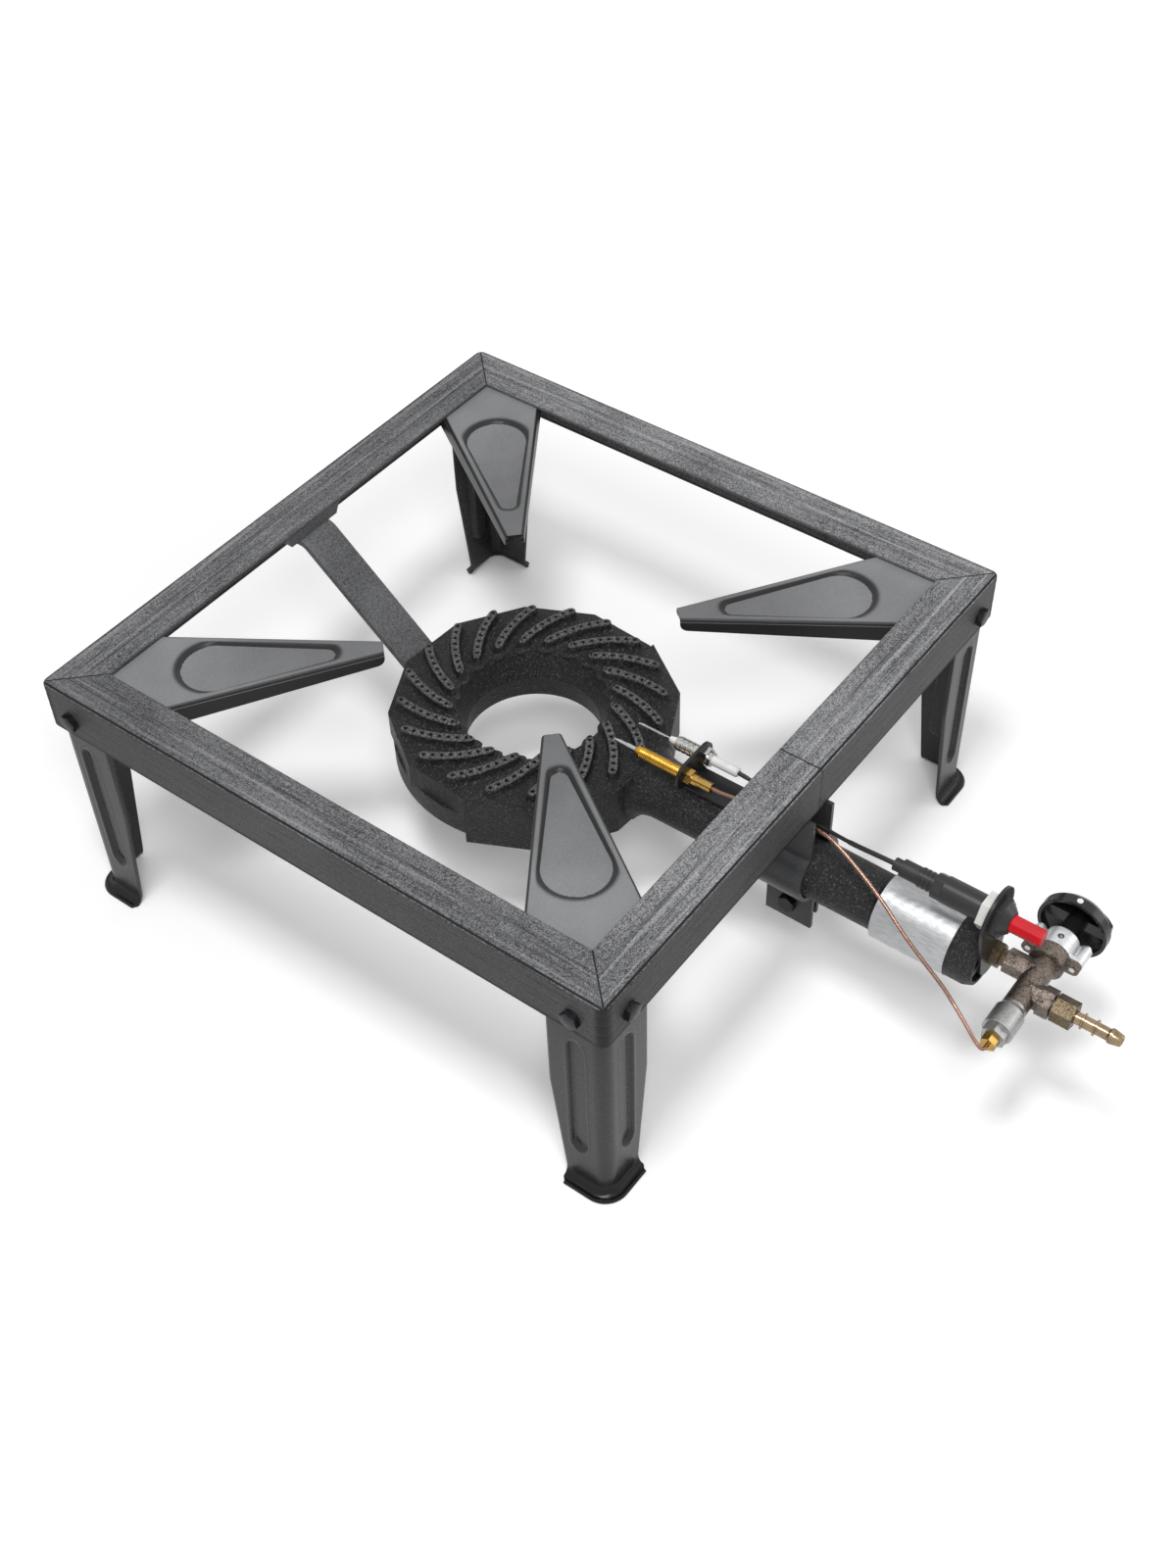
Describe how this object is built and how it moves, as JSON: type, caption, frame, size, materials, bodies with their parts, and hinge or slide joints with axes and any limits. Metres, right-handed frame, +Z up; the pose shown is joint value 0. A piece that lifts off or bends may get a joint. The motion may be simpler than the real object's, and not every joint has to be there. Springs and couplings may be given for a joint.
{
  "type": "four-legged gas burner",
  "caption": "Low square-framed outdoor gas burner on pressed sheet legs, with a cast swirl ring, pan arms, a flame-failure tap with a hose nozzle and a push-button igniter.",
  "frame": {"origin": "on the floor under the middle of the square frame", "axes": "+Z up, -Y towards the gas inlet and the tap, +X towards the knob"},
  "size_m": [0.408, 0.6025, 0.179],
  "materials": {
    "frame_coat": "hammered dark grey coat",
    "leg_coat": "hammered dark grey coat",
    "arm_paint": "satin black paint",
    "blackened_steel": "blackened",
    "plated_steel": "zinc plated",
    "clamp_steel": "bare grey sheet",
    "cast_iron": "matt black sand casting",
    "black_plate": "satin black",
    "brass": "turned brass",
    "bronze": "darkened forged brass",
    "nickel": "nickel plated",
    "zinc": "bare zinc die casting",
    "ceramic": "glazed white ceramic",
    "copper": "drawn copper",
    "lead_cover": "smooth black",
    "rubber": "matt black",
    "igniter_black": "moulded black",
    "nut_white": "moulded white",
    "button_red": "moulded red",
    "knob_black": "moulded black with a white dot on the rim",
    "spring_steel": "spring wire"
  },
  "bodies": {
    "root": {"frame": "frame_coat", "leg_front_left": "leg_coat", "leg_front_right": "leg_coat", "leg_rear_right": "leg_coat", "leg_rear_left": "leg_coat", "pan_arm_front_left": "arm_paint", "pan_arm_front_right": "arm_paint", "pan_arm_rear_right": "arm_paint", "pan_arm_rear_left": "arm_paint", "corner_bolts": "blackened_steel", "corner_nuts": "plated_steel", "rear_bracket": "frame_coat", "rear_strap": "frame_coat", "strap_bolts": "blackened_steel", "strap_nut": "plated_steel", "burner_casting": "cast_iron", "clamp_left": "clamp_steel", "clamp_right": "clamp_steel", "clamp_bolt": "blackened_steel", "clamp_nut": "plated_steel", "pilot_bracket": "black_plate", "pilot_screw": "plated_steel", "thermocouple": "brass", "thermocouple_tip": "nickel", "thermocouple_gland": "brass", "electrode_rod": "nickel", "electrode_ceramic": "ceramic", "electrode_holder": "nickel", "electrode_nut": "nickel", "thermocouple_lead": "copper", "ignition_lead": "lead_cover", "igniter_boot": "rubber", "end_plate": "black_plate", "igniter_body": "igniter_black", "igniter_nut": "nut_white", "igniter_spring": "spring_steel", "injector": "brass", "injector_nut": "brass", "tap_body": "bronze", "tap_bonnet": "zinc", "bonnet_screws": "plated_steel", "magnet_unit": "zinc", "plunger_spring": "spring_steel", "lead_nut": "brass", "union_nut": "brass", "hose_nozzle": "brass", "union_seal": "rubber"},
    "tap_plug": {"tap_plug": "brass", "spindle_spring": "spring_steel"},
    "control_knob": {"knob": "knob_black", "tap_spindle": "plated_steel"},
    "safety_valve": {"safety_plunger": "brass"},
    "igniter_push": {"igniter_button": "button_red"}
  },
  "joints": [
    {"name": "tap_turn", "type": "hinge", "parent": "root", "child": "tap_plug", "pos_m": [0.01, -0.341, 0.0985], "axis": [1, 0, 0], "range_deg": [0, 180]},
    {"name": "knob_push", "type": "slide", "parent": "tap_plug", "child": "control_knob", "axis": [-1, 0, 0], "range_m": [0, 0.003], "stiffness_N_per_m": 1500, "springref_m": -0.002, "deforming": ["spindle_spring"]},
    {"name": "safety_lift", "type": "slide", "parent": "root", "child": "safety_valve", "axis": [-1, 0, 0], "range_m": [0, 0.003], "deforming": ["plunger_spring"]},
    {"name": "igniter_push", "type": "slide", "parent": "root", "child": "igniter_push", "axis": [0, 1, 0], "range_m": [0, 0.007], "stiffness_N_per_m": 900, "springref_m": -0.002, "deforming": ["igniter_spring"]}
  ],
  "couplings": [
    {"joint": "safety_lift", "follows": "knob_push", "ratio": 1}
  ]
}
